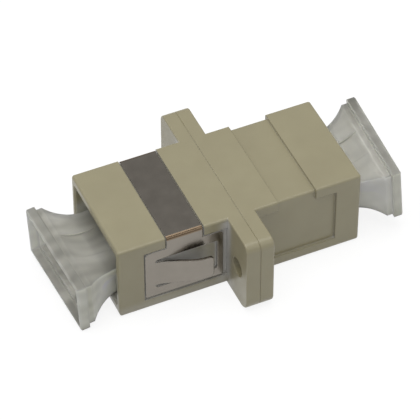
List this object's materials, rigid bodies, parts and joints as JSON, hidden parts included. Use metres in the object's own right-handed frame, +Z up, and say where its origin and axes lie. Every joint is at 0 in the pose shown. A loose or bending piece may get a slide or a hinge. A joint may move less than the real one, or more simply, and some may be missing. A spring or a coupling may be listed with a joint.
{
  "type": "lc fibre adapter",
  "caption": "Beige duplex LC fibre adapter with a full flange, a bent steel panel clip on one half, and a translucent duplex dust cap in each end.",
  "frame": {"origin": "under the middle of the flange, on the plane that the body rests on", "axes": "+X along the adapter from the clip end to the bare end, +Y across the width, +Z up, out of the top that the clip's band crosses"},
  "size_m": [0.0387, 0.022, 0.0095],
  "materials": {
    "body_plastic": "moulded, satin",
    "carrier_plastic": "moulded, satin",
    "sleeve_bronze": "drawn bronze, bright",
    "clip_steel": "cold-rolled spring strip, bright",
    "cap_plastic": "translucent, lightly frosted"
  },
  "bodies": {
    "adapter": {"housing_left": "body_plastic", "housing_right": "body_plastic", "sleeve_carrier_left": "carrier_plastic", "sleeve_carrier_right": "carrier_plastic", "split_sleeve_front": "sleeve_bronze", "split_sleeve_back": "sleeve_bronze", "panel_clip": "clip_steel"},
    "left_cap": {"dust_cap_left": "cap_plastic"},
    "right_cap": {"dust_cap_right": "cap_plastic"}
  },
  "joints": [
    {"name": "left_cap_pull", "type": "slide", "parent": "adapter", "child": "left_cap", "axis": [-1, 0, 0], "range_m": [0, 0.012]},
    {"name": "right_cap_pull", "type": "slide", "parent": "adapter", "child": "right_cap", "axis": [1, 0, 0], "range_m": [0, 0.012]}
  ]
}
